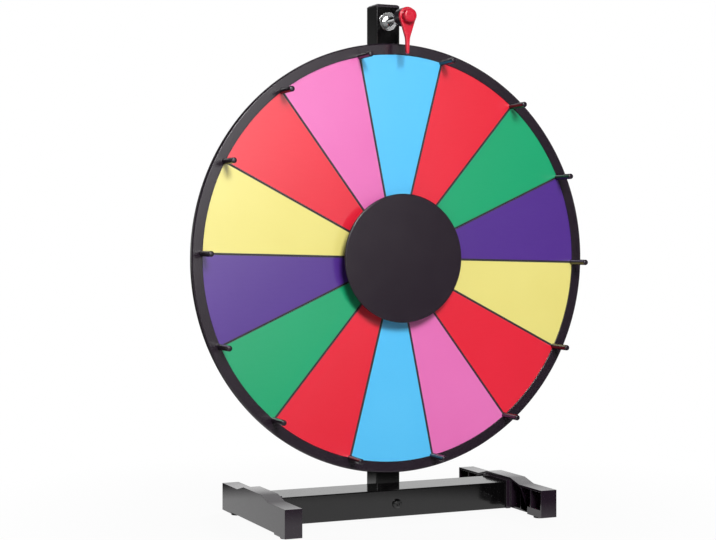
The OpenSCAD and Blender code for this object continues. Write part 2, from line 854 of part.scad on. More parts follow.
// Outline of the pointer, hanging from its pivot: a round head that tapers to a thin tail
module pointer_outline() {
    head_r = pointer_head_w / 2;
    tip_r = pointer_tip_w / 2;
    shoulder_angle = -30;
    head_steps = 40;
    tip_steps = 8;
    head = [for (i = [0:head_steps])
        let (a = shoulder_angle + (180 - 2 * shoulder_angle) * i / head_steps)
        [head_r * cos(a), head_r * sin(a)]];
    tip = [for (i = [0:tip_steps]) let (a = 180 + 180 * i / tip_steps)
        [tip_r * cos(a), tip_r - pointer_len + tip_r * sin(a)]];
    tail_x = pointer_tail_w / 2;
    polygon(concat(head, [[-tail_x, -pointer_taper]], tip, [[tail_x, -pointer_taper]]));
}

module pointer() {
    color(RED) at_pivot() translate([0, 0, pointer_back_z]) difference() {
        linear_extrude(pointer_t) pointer_outline();
        translate([0, 0, -over]) cylinder(d = pivot_d + 2 * run_gap, h = pointer_t + 2 * over);
    }
}

module pointer_collar() {
    color(BLACK) at_pivot() translate([0, 0, collar_back_z])
        tube(collar_d, pivot_d + 2 * run_gap, collar_len);
}

// A round-edged cap over the nut at the pivot bolt's front end
module pointer_cap() {
    cap_r = pointer_cap_d / 2;
    inner_r = cap_r - pointer_cap_wall;
    inner_h = pointer_cap_h - pointer_cap_wall;
    arc_steps = 8;
    edge = [for (i = [0:arc_steps]) let (a = 90 * i / arc_steps)
        [cap_r - pointer_cap_round * (1 - cos(a)), pointer_cap_h - pointer_cap_round * (1 - sin(a))]];
    inside = [[0, inner_h], [inner_r, inner_h], [inner_r, 0], [cap_r, 0]];
    color(RED) at_pivot() translate([0, 0, pointer_front_z]) rotate_extrude()
        polygon(concat(inside, edge, [[0, pointer_cap_h]]));
}

left_foot();
right_foot();
foot_pads();
foot_screws();
crossbar();
post();
post_cap();
post_bolt();
post_bolt_sleeve();
post_bolt_nut();
axle_bolt();
axle_front_washer();
axle_rear_washer();
axle_nut();
axle_spacer();
bearing_spacer();
bearing_inner_rings();
bearing_balls();
pivot_bolt();
pivot_front_washer();
pivot_rear_washer();
pivot_post_nut();
pivot_collar_nut();
pivot_end_nut();
wheel_board();
rim();
blue_slices();
red_slices();
green_slices();
purple_slices();
yellow_slices();
pink_slices();
pegs();
peg_screws();
hub_cover();
hub_screws();
bearing_housing();
clamp_ring();
flange_bolts();
flange_nuts();
bearing_outer_rings();
pointer();
pointer_collar();
pointer_cap();
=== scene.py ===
"""Looks of the carnival game wheel: finishes, hardware, wheel, pointer, studio and camera.

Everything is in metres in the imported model's frame: the front is -Y, +Z is up and X runs along the base.
Shapes are worked out about their own Z axis, which points out of the face that is seen, and then placed.
"""
import json
import math

import bpy
import numpy as np
from mathutils import Matrix, Vector


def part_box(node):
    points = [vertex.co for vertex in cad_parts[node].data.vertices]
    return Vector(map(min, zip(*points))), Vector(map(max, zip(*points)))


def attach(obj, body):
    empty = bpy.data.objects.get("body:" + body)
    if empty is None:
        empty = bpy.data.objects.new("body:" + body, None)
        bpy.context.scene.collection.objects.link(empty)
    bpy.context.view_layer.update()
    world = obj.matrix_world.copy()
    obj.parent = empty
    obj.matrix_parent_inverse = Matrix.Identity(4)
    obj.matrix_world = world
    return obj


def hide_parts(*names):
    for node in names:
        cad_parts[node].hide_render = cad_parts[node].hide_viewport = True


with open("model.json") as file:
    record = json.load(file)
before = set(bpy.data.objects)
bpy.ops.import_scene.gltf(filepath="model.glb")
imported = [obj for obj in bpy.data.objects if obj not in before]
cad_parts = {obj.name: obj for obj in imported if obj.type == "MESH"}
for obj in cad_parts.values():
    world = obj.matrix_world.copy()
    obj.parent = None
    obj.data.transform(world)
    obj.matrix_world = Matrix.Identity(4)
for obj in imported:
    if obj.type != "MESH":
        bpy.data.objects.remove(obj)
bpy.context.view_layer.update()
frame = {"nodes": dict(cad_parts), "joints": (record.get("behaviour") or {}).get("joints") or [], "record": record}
scene = bpy.context.scene

MM = 0.001

BODY_OF = {node: body for body, nodes in frame["record"]["behaviour"]["bodies"].items() for node in nodes}
SLOT_OF = {row["node"]: row["material_slot"] for row in frame["record"]["subparts"]}
JOINT_AT = {joint["name"]: np.array(joint["pos_m"]) for joint in frame["joints"]}
AXLE = JOINT_AT["wheel_spin"]
PIVOT = JOINT_AT["pointer_swing"]

# Layout of what repeats on the wheel
PEG_COUNT = 14
PEG_RING_R = 290 * MM
PEG_HOLE_R = 4.1 * MM
FLANGE_BOLT_COUNT = 6
FLANGE_BOLT_RING_R = 38 * MM
HUB_SCREW_COUNT = 3
HUB_SCREW_RING_R = 63.5 * MM
LINE_HALF_W = 1.6 * MM
WHEEL_TURN = math.radians(1.5)
PEG_FIRST = math.pi / 2 - math.pi / PEG_COUNT
FLANGE_BOLT_FIRST = math.pi / 2
HUB_SCREW_FIRST = math.pi / 2 + math.pi / FLANGE_BOLT_COUNT

# Threads and bores of the hardware
AXLE_D = 12 * MM
AXLE_PITCH = 1.75 * MM
PIVOT_D = 8 * MM
PIVOT_PITCH = 1.25 * MM
POST_BOLT_D = 8 * MM
POST_BOLT_PITCH = 1.25 * MM
FLANGE_BOLT_D = 6 * MM
FLANGE_BOLT_PITCH = 1 * MM
BORE_GAP = 0.1 * MM
POINTER_BORE_R = PIVOT_D / 2 + 0.05 * MM

# Turns that point a shape's own +Z axis to the front, to the back and to the floor
TO_FRONT = np.array([[1, 0, 0], [0, 0, -1], [0, 1, 0]], float)
TO_BACK = np.array([[-1, 0, 0], [0, 0, 1], [0, 1, 0]], float)
TO_FLOOR = np.array([[1, 0, 0], [0, -1, 0], [0, 0, -1]], float)

# Edges past this angle stay sharp, and points that round to the same step become one
SHARP_ANGLE = math.radians(38)
WELD_STEP = 1e-7


# Surfaces

def grid(points, close_rows=False):
    """Quads over points of shape (rows, columns, 3): each row is a ring; the last row may join the first."""
    rows, columns = points.shape[:2]
    index = np.arange(rows * columns).reshape(rows, columns)
    if close_rows:
        index = np.vstack([index, index[:1]])
    index = np.hstack([index, index[:, :1]])
    corners = [index[:-1, :-1], index[:-1, 1:], index[1:, 1:], index[1:, :-1]]
    return points.reshape(-1, 3), np.stack(corners, -1).reshape(-1, 4)


def join(*shapes):
    """Several shapes as one: the faces of each are counted on from the points before it."""
    sizes = [len(points) for points, _ in shapes]
    starts = np.concatenate([[0], np.cumsum(sizes)[:-1]])
    points = np.vstack([points for points, _ in shapes])
    return points, np.vstack([quads + start for (_, quads), start in zip(shapes, starts)])


def place(shape, turn, spots):
    """One copy of a shape at each spot, turned by a matrix."""
    points, quads = shape
    spots = np.atleast_2d(spots)
    copies = spots[:, None] + points @ turn.T
    steps = np.arange(len(spots))[:, None, None] * len(points)
    return copies.reshape(-1, 3), (quads + steps).reshape(-1, 4)


def weld(points, quads):
    """Merges points in one place: a quad that loses a side becomes a triangle; one that loses two goes."""
    steps = np.round(points / WELD_STEP)
    _, first, index = np.unique(steps, axis=0, return_index=True, return_inverse=True)
    quads = index.reshape(-1)[quads]
    same = quads == np.roll(quads, -1, axis=1)
    lost = same.sum(1)
    triangles = quads[lost == 1][~same[lost == 1]].reshape(-1, 3)
    return points[first], quads[lost == 0].tolist() + triangles.tolist()


def fillet(corners, radii, steps=5, closed=False):
    """Rounds a profile: each corner gives way to an arc of its radius that touches both its sides.

    The arc's points are weighted sums of its two ends, seen from its centre, by the sines of equal angles.
    The two ends of an open profile stay as they are.
    """
    corners = np.asarray(corners, float)
    before = np.roll(corners, 1, axis=0) - corners
    after = np.roll(corners, -1, axis=0) - corners
    if not closed:
        before, after, corner = before[1:-1], after[1:-1], corners[1:-1]
    else:
        corner = corners
    before = before / np.linalg.norm(before, axis=1, keepdims=True)
    after = after / np.linalg.norm(after, axis=1, keepdims=True)
    half = np.arccos(np.clip((before * after).sum(1), -1, 1))[:, None] / 2
    radius = np.broadcast_to(np.asarray(radii, float), len(corner))[:, None]
    middle = before + after
    middle = middle / np.linalg.norm(middle, axis=1, keepdims=True)
    centre = corner + middle * radius / np.sin(half)
    start = corner + before * radius / np.tan(half) - centre
    end = corner + after * radius / np.tan(half) - centre
    turn = (np.pi - 2 * half)[:, :, None]
    share = np.linspace(0, 1, steps)[None, :, None]
    arcs = start[:, None] * np.sin((1 - share) * turn) + end[:, None] * np.sin(share * turn)
    arcs = (centre[:, None] + arcs / np.sin(turn)).reshape(-1, 2)
    return arcs if closed else np.vstack([corners[:1], arcs, corners[-1:]])


def full_turn(count):
    """Evenly spread angles round a full turn."""
    return np.linspace(0, 2 * np.pi, count, endpoint=False)


def hexagon_r(flats, turn):
    """A hexagon's radius at each angle: half its width over the cosine of the angle from a flat's middle."""
    return flats / 2 / np.cos(turn % (np.pi / 3) - np.pi / 6)


def revolve(profile, count=96, closed=False):
    """Carries a profile of (radius, height) points round the Z axis."""
    turn = full_turn(count)
    radius, height = profile[:, :1], profile[:, 1:]
    points = np.stack([radius * np.cos(turn), radius * np.sin(turn), height + 0 * turn], -1)
    return grid(points, close_rows=closed)


def tube(outer_r, inner_r, low, high, edge, count=96):
    """A tube or washer: a rectangle with round corners, carried round the Z axis."""
    corners = [[outer_r, low], [outer_r, high], [inner_r, high], [inner_r, low]]
    return revolve(fillet(corners, edge, closed=True), count, closed=True)


def polar(radius, height, turn):
    """A grid of rings about the Z axis, from arrays of radius and height for each ring and angle."""
    radius, height, turn = np.broadcast_arrays(radius, height, turn)
    return grid(np.stack([radius * np.cos(turn), radius * np.sin(turn), height], -1))


def hexagon(flats, high, bore_r=0.0):
    """A bolt head or nut that stands on the XY plane: a hexagon whose corners a 30 degree cone cuts off.

    With a bore, its rings run on down through a hole with a bevelled mouth at each end.
    """
    turn = full_turn(72)
    wall = hexagon_r(flats, turn)
    face = np.full_like(turn, 0.475 * flats)
    cut = (wall - face) * math.tan(math.radians(30))
    top = np.full_like(turn, high)
    floor = np.zeros_like(turn)
    radius = [face, wall, wall, face]
    height = [floor, cut, top - cut, top]
    if bore_r:
        mouth = 0.1 * bore_r
        hole = np.full_like(turn, bore_r)
        radius += [hole + mouth, hole, hole, hole + mouth, face]
        height += [top, top - mouth, floor + mouth, floor, floor]
    else:
        radius = [floor] + radius + [floor]
        height = [floor] + height + [top]
    return polar(np.array(radius), np.array(height), turn)


def threaded(d, pitch, low, high):
    """A threaded rod: its radius falls from crest to root and back once in each pitch.

    The fall is a triangle wave of height over pitch less angle over a full turn, cut by a 45 degree cone
    at each end, and a point on the axis closes the ends.
    """
    turn = full_turn(32)
    rings = int(8 * (high - low) / pitch) + 1
    height = np.linspace(low, high, rings)[:, None] + 0 * turn
    wave = np.abs(2 * ((height / pitch - turn / (2 * np.pi)) % 1) - 1)
    crest = d / 2
    root = crest - 0.6 * pitch
    radius = crest - (crest - root) * wave
    cone = root + np.minimum(height - low, high - height)
    radius = np.minimum(radius, cone)
    closing = np.zeros((1, turn.size))
    radius = np.vstack([closing, radius, closing])
    height = np.vstack([height[:1], height, height[-1:]])
    return polar(radius, height, turn)


def pan_screw(head_d, head_h, shank_d, grip):
    """A pan-head screw with a cross recess; its head rises from the XY plane and its shank goes down.

    The head's height is the root of one less the fourth power of the share of its radius. The recess takes
    away a depth that fades with the distance from the arms' middle lines and from the head's middle.
    """
    turn = full_turn(64)
    share = np.sqrt(np.linspace(1, 0, 18))[:, None]
    head_r = head_d / 2
    radius = head_r * share + 0 * turn
    height = head_h * np.sqrt(np.clip(1 - share ** 4, 0, 1)) + 0 * turn
    across = radius * np.minimum(np.abs(np.cos(turn)), np.abs(np.sin(turn)))
    along = radius * np.maximum(np.abs(np.cos(turn)), np.abs(np.sin(turn)))
    arm_half_w = 0.09 * head_d
    arm_len = 0.30 * head_d
    in_arm = np.clip((arm_half_w - across) / (0.35 * arm_half_w), 0, 1)
    in_reach = np.clip((arm_len - along) / (0.5 * arm_len), 0, 1)
    height = height - 0.6 * head_h * in_arm * in_reach
    shank_r = shank_d / 2
    ring = np.ones((1, turn.size))
    radius = np.vstack([0 * ring, shank_r * ring, shank_r * ring, radius])
    height = np.vstack([-grip * ring, -grip * ring, 0 * ring, height])
    return polar(radius, height, turn)


# Pieces

def add_piece(name, shape, body, slot, *nodes):
    """A mesh piece on a CAD body, in the finish of a slot, which stands for the named CAD nodes."""
    points, faces = weld(*shape)
    mesh = bpy.data.meshes.new(name)
    mesh.from_pydata(points, [], faces)
    mesh.shade_smooth()
    mesh.set_sharp_from_angle(angle=SHARP_ANGLE)
    mesh.materials.append(FINISHES[slot])
    piece = bpy.data.objects.new(name, mesh)
    scene.collection.objects.link(piece)
    piece.modifiers.new("flat faces stay flat", "WEIGHTED_NORMAL").keep_sharp = True
    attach(piece, body)
    if nodes:
        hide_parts(*nodes)
    return piece


def stand_in(node, shape):
    """A finer piece in place of one CAD node, on its body and in its finish."""
    return add_piece(node + "_form", shape, BODY_OF[node], SLOT_OF[node], node)


def spread(node):
    """A CAD node's middle and its half sizes."""
    low, high = (np.array(corner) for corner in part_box(node))
    return (low + high) / 2, (high - low) / 2


def half_sizes(node):
    """A CAD node's half sizes."""
    return spread(node)[1]


def rear_spot(node):
    """The middle of a CAD node's rear side."""
    middle, half = spread(node)
    return middle + [0, half[1], 0]


def front_spot(node):
    """The middle of a CAD node's front side."""
    middle, half = spread(node)
    return middle - [0, half[1], 0]


def ring_spots(count, radius, first, depth):
    """Spots round the axle at one depth, evenly spread from the first angle."""
    angle = first - WHEEL_TURN + full_turn(count)
    across = AXLE[0] + radius * np.cos(angle)
    up = AXLE[2] + radius * np.sin(angle)
    return np.stack([across, np.full(count, depth), up], 1)


# Shader node groups

def add_node(tree, kind, inputs=None, **settings):
    """A node with its settings; each input, by name or number, is joined to a socket or set to a value."""
    made = tree.nodes.new(kind)
    for key, value in settings.items():
        setattr(made, key, value)
    for key, value in (inputs or {}).items():
        if isinstance(value, bpy.types.NodeSocket):
            tree.links.new(value, made.inputs[key])
        else:
            made.inputs[key].default_value = value
    return made


def calc(tree, operation, first, second=0.0, third=0.0):
    """The output of a Math node."""
    return add_node(tree, "ShaderNodeMath", {0: first, 1: second, 2: third}, operation=operation).outputs[0]


def vector_calc(tree, operation, first, second=(0.0, 0.0, 0.0)):
    """The output of a Vector Math node: a number for a length or a dot product, and a vector otherwise."""
    made = add_node(tree, "ShaderNodeVectorMath", {0: first, 1: second}, operation=operation)
    return made.outputs["Value" if operation in ("LENGTH", "DOT_PRODUCT") else "Vector"]


def object_place(tree):
    """The place on the piece, in Object coordinates."""
    return add_node(tree, "ShaderNodeTexCoord").outputs["Object"]


def place_from_axle(tree):
    """The place on the piece, centred on the axle."""
    inputs = {"Vector": object_place(tree), "Location": tuple(-AXLE)}
    return add_node(tree, "ShaderNodeMapping", inputs).outputs[0]


def axes(tree, vector):
    """A vector's X, Y and Z."""
    return add_node(tree, "ShaderNodeSeparateXYZ", {0: vector}).outputs


def surface_normal(tree):
    """The surface's own normal, before any bump."""
    return add_node(tree, "ShaderNodeNewGeometry").outputs["Normal"]


def mix_colour(tree, share, first, second):
    """The output of a colour Mix node."""
    inputs = {"Factor": share, 6: first, 7: second}
    return add_node(tree, "ShaderNodeMix", inputs, data_type="RGBA").outputs[2]


def noise(tree, scale, detail=3.0, roughness=0.5, stretch=(1, 1, 1)):
    """A noise value on Object coordinates, with its scale in turns per metre."""
    at = add_node(tree, "ShaderNodeMapping", {"Vector": object_place(tree), "Scale": stretch}).outputs[0]
    inputs = {"Vector": at, "Scale": scale, "Detail": detail, "Roughness": roughness}
    return add_node(tree, "ShaderNodeTexNoise", inputs).outputs[0]


def spread_range(tree, value, low, high, to_low=0.0, to_high=1.0):
    """A value carried from one range to another and held inside it."""
    inputs = {"Value": value, 1: low, 2: high, 3: to_low, 4: to_high}
    return add_node(tree, "ShaderNodeMapRange", inputs).outputs[0]


def new_group(name, inputs, outputs):
    """An empty shader node group with named sockets: gives its tree, its input node and its output node."""
    tree = bpy.data.node_groups.new(name, "ShaderNodeTree")
    kinds = {float: "NodeSocketFloat", tuple: "NodeSocketColor"}
    for label, start in inputs.items():
        socket = tree.interface.new_socket(label, in_out="INPUT", socket_type=kinds[type(start)])
        socket.default_value = start
    for label, kind in outputs.items():
        tree.interface.new_socket(label, in_out="OUTPUT", socket_type=kinds[kind])
    return tree, tree.nodes.new("NodeGroupInput"), tree.nodes.new("NodeGroupOutput")


def grain_group():
    """Fine surface grain: a height from coarse and fine noise, for a bump."""
    tree, given, result = new_group("surface grain", {"Scale": 900.0}, {"Height": float})
    scale = given.outputs["Scale"]
    coarse = noise(tree, scale, detail=2.0)
    fine = noise(tree, calc(tree, "MULTIPLY", scale, 2.7), detail=3.0)
    height = calc(tree, "MULTIPLY_ADD", fine, 0.4, calc(tree, "MULTIPLY", coarse, 0.6))
    tree.links.new(height, result.inputs["Height"])
    return tree


DUST_COLOUR = (0.55, 0.53, 0.50, 1.0)


def handling_group():
    """Marks of handling: slow colour drift, soft smudges in the gloss, and a little dust on upward faces."""
    inputs = {"Colour": (0.5, 0.5, 0.5, 1.0), "Drift": (0.5, 0.5, 0.5, 1.0), "Roughness": 0.4,
              "Smudge": 0.1, "Dust": 0.03}
    tree, given, result = new_group("handling marks", inputs, {"Colour": tuple, "Roughness": float})
    slow = spread_range(tree, noise(tree, 9.0, detail=2.0), 0.3, 0.7)
    smudge = spread_range(tree, noise(tree, 38.0, detail=4.0, roughness=0.6), 0.42, 0.72)
    specks = spread_range(tree, noise(tree, 1500.0, detail=1.0), 0.62, 0.75)
    upward = spread_range(tree, axes(tree, surface_normal(tree))["Z"], 0.4, 0.95)
    dust = calc(tree, "MULTIPLY", calc(tree, "MULTIPLY", upward, specks), given.outputs["Dust"])
    colour = mix_colour(tree, slow, given.outputs["Colour"], given.outputs["Drift"])
    colour = mix_colour(tree, dust, colour, DUST_COLOUR)
    rough = calc(tree, "MULTIPLY_ADD", smudge, given.outputs["Smudge"], given.outputs["Roughness"])
    tree.links.new(colour, result.inputs["Colour"])
    tree.links.new(rough, result.inputs["Roughness"])
    return tree


def edge_group():
    """Rubbed edges: a mask where a rounded normal leaves the surface's own, broken up by noise."""
    tree, given, result = new_group("rubbed edges", {"Radius": 0.0012, "Amount": 0.5}, {"Mask": float})
    bevel = add_node(tree, "ShaderNodeBevel", {"Radius": given.outputs["Radius"]}, samples=4)
    likeness = vector_calc(tree, "DOT_PRODUCT", bevel.outputs[0], surface_normal(tree))
    edge = spread_range(tree, likeness, 0.995, 0.90)
    broken = spread_range(tree, noise(tree, 160.0, detail=4.0), 0.35, 0.7)
    mask = calc(tree, "MULTIPLY", calc(tree, "MULTIPLY", edge, broken), given.outputs["Amount"])
    tree.links.new(mask, result.inputs["Mask"])
    return tree


def slice_line_group():
    """Lines between the slices: a mask near the rays from the axle through the pegs.

    The distance from a ray is the radius times the sine of the angle to it.
    """
    soft = 0.1 * MM
    tree, given, result = new_group("slice lines", {"Half Width": LINE_HALF_W}, {"Mask": float})
    from_axle = place_from_axle(tree)
    along = axes(tree, from_axle)
    radius = vector_calc(tree, "LENGTH", vector_calc(tree, "MULTIPLY", from_axle, (1, 0, 1)))
    angle = calc(tree, "ARCTAN2", along["Z"], along["X"])
    turned = calc(tree, "SUBTRACT", angle, PEG_FIRST - WHEEL_TURN)
    nearest = calc(tree, "WRAP", turned, math.pi / PEG_COUNT, -math.pi / PEG_COUNT)
    away = calc(tree, "MULTIPLY", radius, calc(tree, "ABSOLUTE", calc(tree, "SINE", nearest)))
    outside = calc(tree, "SUBTRACT", away, given.outputs["Half Width"])
    tree.links.new(spread_range(tree, outside, -soft, soft, 1.0, 0.0), result.inputs["Mask"])
    return tree


GRAIN = grain_group()
HANDLING = handling_group()
EDGES = edge_group()
SLICE_LINES = slice_line_group()


# Finishes

def srgb(red, green, blue):
    """A screen colour from 0 to 255 as linear light: the sRGB curve's power part and its straight foot."""
    share = np.array([red, green, blue]) / 255
    linear = np.where(share > 0.04045, ((share + 0.055) / 1.055) ** 2.4, share / 12.92)
    return (*linear.tolist(), 1.0)


def use_group(tree, group, inputs):
    """A group placed in a material with its own values."""
    return add_node(tree, "ShaderNodeGroup", inputs, node_tree=group)


def new_finish(name, colour, drift, rough, smudge, dust=0.0, **constants):
    """A material whose colour and gloss come from handling marks; constants go onto the shader's sockets.

    Returns the material, its node tree, its shader and the marks.
    """
    material = bpy.data.materials.new(name)
    material.use_nodes = True
    tree = material.node_tree
    shader = tree.nodes["Principled BSDF"]
    inputs = {"Colour": colour, "Drift": drift, "Roughness": rough, "Smudge": smudge, "Dust": dust}
    marks = use_group(tree, HANDLING, inputs)
    tree.links.new(marks.outputs["Colour"], shader.inputs["Base Color"])
    tree.links.new(marks.outputs["Roughness"], shader.inputs["Roughness"])
    for key, value in constants.items():
        shader.inputs[key.replace("_", " ")].default_value = value
    return material, tree, shader, marks


def add_bump(tree, shader, height, strength, distance):
    """Joins a height to the shader's normal through a Bump node."""
    inputs = {"Height": height, "Strength": strength, "Distance": distance}
    tree.links.new(add_node(tree, "ShaderNodeBump", inputs).outputs[0], shader.inputs["Normal"])


def rub_edges(tree, shader, marks, worn, radius, amount):
    """Shows a worn colour along the edges."""
    mask = use_group(tree, EDGES, {"Radius": radius, "Amount": amount}).outputs["Mask"]
    tree.links.new(mix_colour(tree, mask, marks.outputs["Colour"], worn), shader.inputs["Base Color"])


def black_plastic():
    """Moulded black plastic with a fine spark-eroded grain and paler edges, smoother on the feet."""
    dark, pale = srgb(31, 21, 32), srgb(35, 25, 35)
    feet_rough, wheel_rough, fade_low, fade_high = 0.12, 0.24, 55 * MM, 65 * MM
    material, tree, shader, marks = new_finish("moulded black plastic", dark, pale, rough=wheel_rough,
                                               smudge=0.03, dust=0.10)
    height = axes(tree, object_place(tree))["Z"]
    rough = spread_range(tree, height, fade_low, fade_high, feet_rough, wheel_rough)
    tree.links.new(rough, marks.inputs["Roughness"])
    rub_edges(tree, shader, marks, srgb(70, 66, 70), radius=0.8 * MM, amount=0.5)
    grain = use_group(tree, GRAIN, {"Scale": 1100.0}).outputs["Height"]
    add_bump(tree, shader, grain, strength=0.08, distance=0.1 * MM)
    return material


def black_steel():
    """Black powder coat on steel, with the low waves of its orange peel."""
    dark, pale = srgb(7, 6, 7), srgb(10, 9, 10)
    material, tree, shader, marks = new_finish("black powder coat", dark, pale, rough=0.10,
                                               smudge=0.04, dust=0.10)
    rub_edges(tree, shader, marks, srgb(60, 58, 60), radius=0.7 * MM, amount=0.4)
    peel = use_group(tree, GRAIN, {"Scale": 420.0}).outputs["Height"]
    add_bump(tree, shader, peel, strength=0.10, distance=0.1 * MM)
    return material


def black_board():
    """Fibreboard painted black: a matt coat with the board's fibres showing through."""
    dark, pale = srgb(34, 30, 33), srgb(44, 39, 41)
    material, tree, shader, _ = new_finish("painted fibreboard", dark, pale, rough=0.55,
                                           smudge=0.12, dust=0.05)
    fibres = noise(tree, 260.0, detail=6.0, roughness=0.65, stretch=(1, 1, 3.5))
    add_bump(tree, shader, fibres, strength=0.3, distance=0.25 * MM)
    return material


def zinc():
    """Bright zinc plate with a cool and a faintly warm tint and fine rolling marks."""
    cool, warm = srgb(222, 224, 228), srgb(206, 204, 196)
    material, tree, shader, _ = new_finish("zinc plate", cool, warm, rough=0.14, smudge=0.10, Metallic=1.0)
    rolling = noise(tree, 700.0, detail=4.0, stretch=(1, 6, 1))
    add_bump(tree, shader, rolling, strength=0.12, distance=0.05 * MM)
    return material


def housing_metal():
    """Turned aluminium: fine rings about the axle in the bump."""
    bright, dull = srgb(198, 200, 203), srgb(176, 177, 180)
    material, tree, shader, _ = new_finish("turned aluminium", bright, dull, rough=0.30,
                                           smudge=0.15, Metallic=1.0)
    inputs = {"Vector": place_from_axle(tree), "Scale": 380.0, "Distortion": 0.4, "Detail": 2.0}
    rings = add_node(tree, "ShaderNodeTexWave", inputs, wave_type="RINGS", rings_direction="Y")
    add_bump(tree, shader, rings.outputs["Fac"], strength=0.25, distance=0.08 * MM)
    return material


def rubber():
    """Soft matt black rubber."""
    dark, pale = srgb(24, 24, 25), srgb(34, 33, 33)
    material, tree, shader, _ = new_finish("matt rubber", dark, pale, rough=0.75, smudge=0.1, dust=0.2)
    grain = use_group(tree, GRAIN, {"Scale": 700.0}).outputs["Height"]
    add_bump(tree, shader, grain, strength=0.4, distance=0.2 * MM)
    return material


def red_plastic():
    """Glossy red plastic with a faint depth of colour and soft moulding flow."""
    light, deep = srgb(222, 36, 60), srgb(206, 24, 50)
    material, tree, shader, marks = new_finish("glossy red plastic", light, deep, rough=0.24, smudge=0.12)
    rub_edges(tree, shader, marks, srgb(240, 96, 108), radius=0.6 * MM, amount=0.5)
    flow = noise(tree, 120.0, detail=2.0, stretch=(1, 1, 0.35))
    add_bump(tree, shader, flow, strength=0.10, distance=0.1 * MM)
    return material


def film(name, colour, drift):
    """Coloured dry-wipe film with a dark printed line on its edges and faint wiping streaks in its gloss."""
    rough, line_colour = 0.28, srgb(44, 38, 50)
    material, tree, shader, marks = new_finish(name, colour, drift, rough, smudge=0.01, Coat_Roughness=rough)
    line = use_group(tree, SLICE_LINES, {"Half Width": LINE_HALF_W}).outputs["Mask"]
    tree.links.new(mix_colour(tree, line, marks.outputs["Colour"], line_colour), shader.inputs["Base Color"])
    streaks = noise(tree, 55.0, detail=5.0, roughness=0.6, stretch=(1, 1, 7))
    tree.links.new(spread_range(tree, streaks, 0.35, 0.75, 0.9, 1.0), shader.inputs["Coat Weight"])
    ripple = noise(tree, 24.0, detail=2.0)
    add_bump(tree, shader, ripple, strength=0.015, distance=0.4 * MM)
    return material


FINISHES = {
    "black_plastic": black_plastic(),
    "black_steel": black_steel(),
    "black_board": black_board(),
    "zinc": zinc(),
    "housing_metal": housing_metal(),
    "rubber": rubber(),
    "red_plastic": red_plastic(),
    "blue_panel": film("blue film", srgb(88, 199, 252), srgb(82, 195, 250)),
    "red_panel": film("red film", srgb(235, 29, 56), srgb(231, 25, 51)),
    "green_panel": film("green film", srgb(2, 165, 110), srgb(0, 161, 106)),
    "purple_panel": film("purple film", srgb(80, 40, 141), srgb(76, 36, 136)),
    "yellow_panel": film("yellow film", srgb(239, 228, 134), srgb(236, 224, 128)),
    "pink_panel": film("pink film", srgb(236, 118, 190), srgb(233, 112, 185)),
}


# Stand

def soften(node, width):
    """Rounds a CAD node's sharp edges: its triangles merge to flat faces, which meet in a small bevel."""
    piece = frame["nodes"][node]
    piece.modifiers.new("merge", "WELD").merge_threshold = 0.01 * MM
    flats = piece.modifiers.new("flat faces", "DECIMATE")
    flats.decimate_type = "DISSOLVE"
    flats.angle_limit = math.radians(0.5)
    bevel = piece.modifiers.new("round edges", "BEVEL")
    bevel.width = width
    bevel.segments = 3
    bevel.limit_method = "ANGLE"
    bevel.angle_limit = math.radians(40)
    piece.modifiers.new("flat faces stay flat", "WEIGHTED_NORMAL")


def foot_pads():
    """Rubber pads: a profile with a round edge and two grooves below, carried round each pad's axis."""
    pad_r, groove = 8 * MM, 0.7 * MM
    half = half_sizes("foot_pads")
    high = 2 * half[2]
    foot_x = half[0] - pad_r
    foot_y = half[1] - pad_r
    corners = [[0, 0], [pad_r, 0], [pad_r, high],
               [0.8 * pad_r, high], [0.72 * pad_r, high - groove], [0.64 * pad_r, high],
               [0.45 * pad_r, high], [0.37 * pad_r, high - groove], [0.29 * pad_r, high], [0, high]]
    radii = np.array([0.3, 0.8, 0.3, 0.3, 0.3, 0.3, 0.3, 0.3]) * MM
    shape = revolve(fillet(corners, radii), count=64)
    spots = [[x * foot_x, y * foot_y, high] for x in (-1, 1) for y in (-1, 1)]
    stand_in("foot_pads", place(shape, TO_FLOOR, spots))


def foot_screws():
    """Cross-recess screws that hold the feet, from under the crossbar."""
    head_d, head_h, shank_d, pitch_y = 9 * MM, 2.5 * MM, 5 * MM, 30 * MM
    middle, half = spread("foot_screws")
    low = middle[2] - half[2]
    shape = pan_screw(head_d, head_h, shank_d, 2 * half[2] - head_h)
    screw_x = half[0] - head_d / 2
    spots = [[x * screw_x, y * pitch_y / 2, low + head_h] for x in (-1, 1) for y in (-1, 1)]
    stand_in("foot_screws", place(shape, TO_FLOOR, spots))


